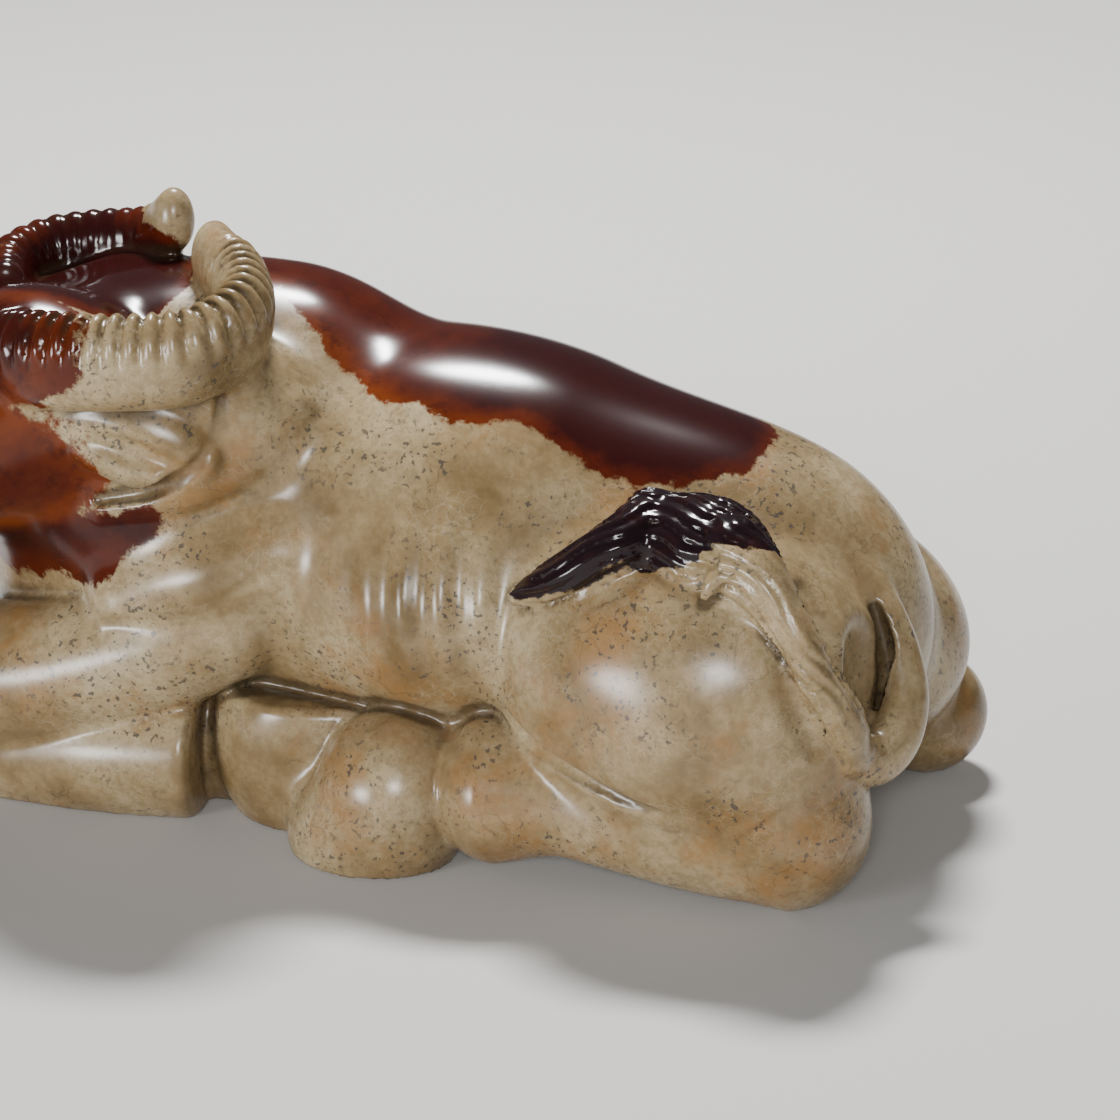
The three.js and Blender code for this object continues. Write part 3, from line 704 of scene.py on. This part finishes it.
class CarveBuffalo(bpy.types.Operator):
    """Carve the buffalo from its masses and give it its jade"""

    bl_idname = "object.carve_buffalo"
    bl_label = "Carve buffalo"

    def execute(self, context):
        look = context.scene.buffalo_stone
        step = look.detail / MM * 1.0
        low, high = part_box("buffalo")
        low = [v / MM - 3 * step for v in low]
        high = [v / MM + 3 * step for v in high]
        points, quads = surface(form, low, high, step)
        points = settled(points, form, step)
        points[:, 2] = np.maximum(points[:, 2], 0)
        mesh = bpy.data.meshes.new("buffalo_carved")
        mesh.vertices.add(len(points))
        mesh.vertices.foreach_set("co", (points * MM).ravel())
        mesh.loops.add(quads.size)
        mesh.loops.foreach_set("vertex_index", quads.ravel())
        mesh.polygons.add(len(quads))
        mesh.polygons.foreach_set("loop_start", np.arange(0, quads.size, 4))
        mesh.update(calc_edges=True)
        mesh.validate()
        mesh.shade_smooth()
        facing = np.empty(len(points) * 3, np.float32)
        mesh.vertices.foreach_get("normal", facing)
        # painted shade: the share of this reach that the stone fills over each point, which darkens it in the
        # material
        hollow_shade = 1 - form(points + facing.reshape(-1, 3) * SHADE_REACH) / SHADE_REACH
        for name, value in zip(("skin", "tone", "hollow_shade"), (*skin_on(points), hollow_shade)):
            mesh.attributes.new(name, "FLOAT", "POINT").data.foreach_set("value", value.astype(np.float32))
        carving = bpy.data.objects.new("buffalo_carved", mesh)
        context.scene.collection.objects.link(carving)
        mesh.materials.append(jade_material(look))
        thin = carving.modifiers.new("thin", "DECIMATE")
        thin.ratio = min(1.0, TRIANGLES / (2 * len(quads)))
        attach(carving, "root")
        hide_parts("buffalo")
        return {"FINISHED"}


class SetStage(bpy.types.Operator):
    """Lay the floor, hang the lights and place the camera"""

    bl_idname = "scene.set_buffalo_stage"
    bl_label = "Set stage"

    def execute(self, context):
        stage = context.scene.buffalo_stage
        scene = context.scene
        bpy.ops.mesh.primitive_plane_add(size=6, location=(0, 0, -0.0001))
        floor = context.object
        floor.name = "floor"
        paper = bpy.data.materials.new("floor_paper")
        paper.use_nodes = True
        shader = paper.node_tree.nodes["Principled BSDF"]
        shader.inputs["Base Color"].default_value = colour_of(stage.floor)
        shader.inputs["Roughness"].default_value = 0.9
        floor.data.materials.append(paper)

        def softbox(name, at, size, power):
            """A soft oval light turned to the middle of the carving, in metres and watts."""
            light = bpy.data.lights.new(name, "AREA")
            light.shape = "ELLIPSE"
            light.size, light.size_y = size
            light.energy = power
            lamp = bpy.data.objects.new(name, light)
            lamp.location = at
            lamp.rotation_euler = (Vector((0.01, 0, 0.02)) - lamp.location).to_track_quat("-Z", "Y").to_euler()
            scene.collection.objects.link(lamp)

        softbox("top_light", (-0.09, 0.24, 0.52), (0.15, 0.08), 7.2)
        softbox("left_light", (-0.34, -0.66, 0.1), (0.27, 0.16), 4.6)
        softbox("front_light", (0.24, -0.65, 0.3), (0.16, 0.13), 3.2)

        world = bpy.data.worlds.new("soft_room")
        scene.world = world
        world.use_nodes = True
        world.node_tree.nodes["Background"].inputs["Color"].default_value = (0.9, 0.93, 1.0, 1)
        world.node_tree.nodes["Background"].inputs["Strength"].default_value = 0.11

        a, e = stage.azimuth, stage.elevation
        back = Vector((math.sin(a) * math.cos(e), -math.cos(a) * math.cos(e), math.sin(e)))
        lens = bpy.data.cameras.new("camera")
        lens.sensor_width = SENSOR
        lens.lens = SENSOR * stage.distance / stage.width
        lens.clip_start, lens.clip_end = 0.01, 20
        camera = bpy.data.objects.new("camera", lens)
        camera.location = LOOKED_AT + back * stage.distance
        camera.rotation_euler = (-back).to_track_quat("-Z", "Y").to_euler()
        scene.collection.objects.link(camera)
        scene.camera = camera
        return {"FINISHED"}


class BuffaloPanel(bpy.types.Panel):
    """The carving's settings and steps"""

    bl_label = "Buffalo"
    bl_idname = "VIEW3D_PT_buffalo"
    bl_space_type = "VIEW_3D"
    bl_region_type = "UI"
    bl_category = "Buffalo"

    def draw(self, context):
        for group in (context.scene.buffalo_stone, context.scene.buffalo_stage):
            for name in group.__annotations__:
                self.layout.prop(group, name)
        self.layout.operator(CarveBuffalo.bl_idname)
        self.layout.operator(SetStage.bl_idname)


CLASSES = (StoneSettings, StageSettings, CarveBuffalo, SetStage, BuffaloPanel)


def register():
    for made in CLASSES:
        bpy.utils.register_class(made)
    bpy.types.Scene.buffalo_stone = bpy.props.PointerProperty(type=StoneSettings)
    bpy.types.Scene.buffalo_stage = bpy.props.PointerProperty(type=StageSettings)


def unregister():
    del bpy.types.Scene.buffalo_stage
    del bpy.types.Scene.buffalo_stone
    for made in reversed(CLASSES):
        bpy.utils.unregister_class(made)


def main():
    register()
    bpy.ops.object.carve_buffalo()
    bpy.ops.scene.set_buffalo_stage()


if __name__ == "__main__":
    main()
